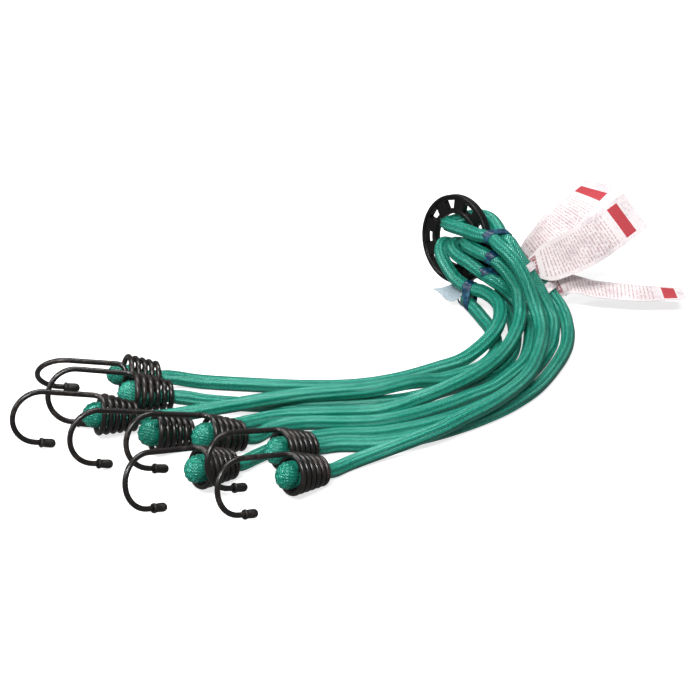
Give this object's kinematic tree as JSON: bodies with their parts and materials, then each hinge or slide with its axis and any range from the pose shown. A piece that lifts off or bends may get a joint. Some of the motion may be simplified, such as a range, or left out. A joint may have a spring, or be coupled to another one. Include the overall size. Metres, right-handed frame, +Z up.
{
  "type": "octopus strap",
  "caption": "Elastic luggage strap: braided cords looped through one ring, with a bent wire hook coiled on each cord end and paper tags.",
  "frame": {"origin": "on the table, below the middle of the ring, hooks, ties and tags", "axes": "+Z up; the hooks lie at -X, the ring stands at +X and +Y"},
  "size_m": [0.3816, 0.3062, 0.0633],
  "materials": {
    "braided_cord": "braided, slight sheen",
    "tie_film": "shiny film",
    "coated_wire": "satin plastic coating",
    "cap_plastic": "satin",
    "ring_plastic": "satin moulded",
    "tag_paper": "matte paper"
  },
  "bodies": {
    "strap": {"cord_1": "braided_cord", "cord_2": "braided_cord", "cord_3": "braided_cord", "cord_4": "braided_cord", "tie_1": "tie_film", "tie_2": "tie_film", "tie_3": "tie_film", "tie_4": "tie_film"},
    "ring": {"ring": "ring_plastic"},
    "hook_a": {"hook_a": "coated_wire", "tip_cap_a": "cap_plastic", "cord_end_a": "braided_cord"},
    "hook_b": {"hook_b": "coated_wire", "tip_cap_b": "cap_plastic", "cord_end_b": "braided_cord"},
    "hook_c": {"hook_c": "coated_wire", "tip_cap_c": "cap_plastic", "cord_end_c": "braided_cord"},
    "hook_d": {"hook_d": "coated_wire", "tip_cap_d": "cap_plastic", "cord_end_d": "braided_cord"},
    "hook_e": {"hook_e": "coated_wire", "tip_cap_e": "cap_plastic", "cord_end_e": "braided_cord"},
    "hook_f": {"hook_f": "coated_wire", "tip_cap_f": "cap_plastic", "cord_end_f": "braided_cord"},
    "hook_g": {"hook_g": "coated_wire", "tip_cap_g": "cap_plastic", "cord_end_g": "braided_cord"},
    "hook_h": {"hook_h": "coated_wire", "tip_cap_h": "cap_plastic", "cord_end_h": "braided_cord"},
    "tag_1": {"tag_1": "tag_paper"},
    "tag_2": {"tag_2": "tag_paper"},
    "tag_3": {"tag_3": "tag_paper"},
    "tag_4": {"tag_4": "tag_paper"}
  },
  "joints": [
    {"name": "ring_spin", "type": "hinge", "parent": "strap", "child": "ring", "pos_m": [0.05428, 0.10244, 0.03651], "axis": [-0.7225, -0.6604, 0.2046], "continuous": true},
    {"name": "hook_a_twist", "type": "hinge", "parent": "strap", "child": "hook_a", "pos_m": [-0.11704, -0.01354, 0.00864], "axis": [-0.9531, -0.22, 0.2079], "range_deg": [-30, 5], "stiffness_Nm_per_rad": 0.02},
    {"name": "hook_b_twist", "type": "hinge", "parent": "strap", "child": "hook_b", "pos_m": [-0.10874, -0.03574, 0.00924], "axis": [-0.9532, -0.2113, 0.2164], "range_deg": [-25, 8], "stiffness_Nm_per_rad": 0.02},
    {"name": "hook_c_twist", "type": "hinge", "parent": "strap", "child": "hook_c", "pos_m": [-0.12704, -0.05454, 0.00754], "axis": [-0.9033, -0.3288, 0.2756], "range_deg": [-30, 30], "stiffness_Nm_per_rad": 0.02},
    {"name": "hook_d_twist", "type": "hinge", "parent": "strap", "child": "hook_d", "pos_m": [-0.09604, -0.07154, 0.00754], "axis": [-0.8759, -0.39, 0.284], "range_deg": [-30, 30], "stiffness_Nm_per_rad": 0.02},
    {"name": "hook_e_twist", "type": "hinge", "parent": "strap", "child": "hook_e", "pos_m": [-0.06804, -0.07454, 0.00754], "axis": [-0.8498, -0.433, 0.3007], "range_deg": [-30, 30], "stiffness_Nm_per_rad": 0.02},
    {"name": "hook_f_twist", "type": "hinge", "parent": "strap", "child": "hook_f", "pos_m": [-0.07254, -0.10204, 0.00754], "axis": [-0.7432, -0.6018, 0.2924], "range_deg": [-30, 30], "stiffness_Nm_per_rad": 0.02},
    {"name": "hook_g_twist", "type": "hinge", "parent": "strap", "child": "hook_g", "pos_m": [-0.03104, -0.08554, 0.00754], "axis": [-0.7617, -0.574, 0.3007], "range_deg": [-9, 30], "stiffness_Nm_per_rad": 0.02},
    {"name": "hook_h_twist", "type": "hinge", "parent": "strap", "child": "hook_h", "pos_m": [-0.02504, -0.10854, 0.00764], "axis": [-0.7536, -0.5888, 0.2924], "range_deg": [-30, 30], "stiffness_Nm_per_rad": 0.02},
    {"name": "tag_1_swing", "type": "hinge", "parent": "strap", "child": "tag_1", "pos_m": [0.09176, 0.08066, 0.02854], "axis": [-0.7614, -0.1553, 0.6295], "range_deg": [-2, 12]},
    {"name": "tag_2_swing", "type": "hinge", "parent": "strap", "child": "tag_2", "pos_m": [0.09396, 0.06966, 0.03334], "axis": [-0.5502, 0.3169, 0.7726], "range_deg": [-20, 1]},
    {"name": "tag_3_swing", "type": "hinge", "parent": "strap", "child": "tag_3", "pos_m": [0.10796, 0.07446, 0.01654], "axis": [-0.6497, 0.5536, 0.5209], "range_deg": [-15, 15]},
    {"name": "tag_4_swing", "type": "hinge", "parent": "strap", "child": "tag_4", "pos_m": [0.06028, 0.08469, 0.00579], "axis": [0.052, 0.9922, -0.113], "range_deg": [-10, 10]}
  ]
}
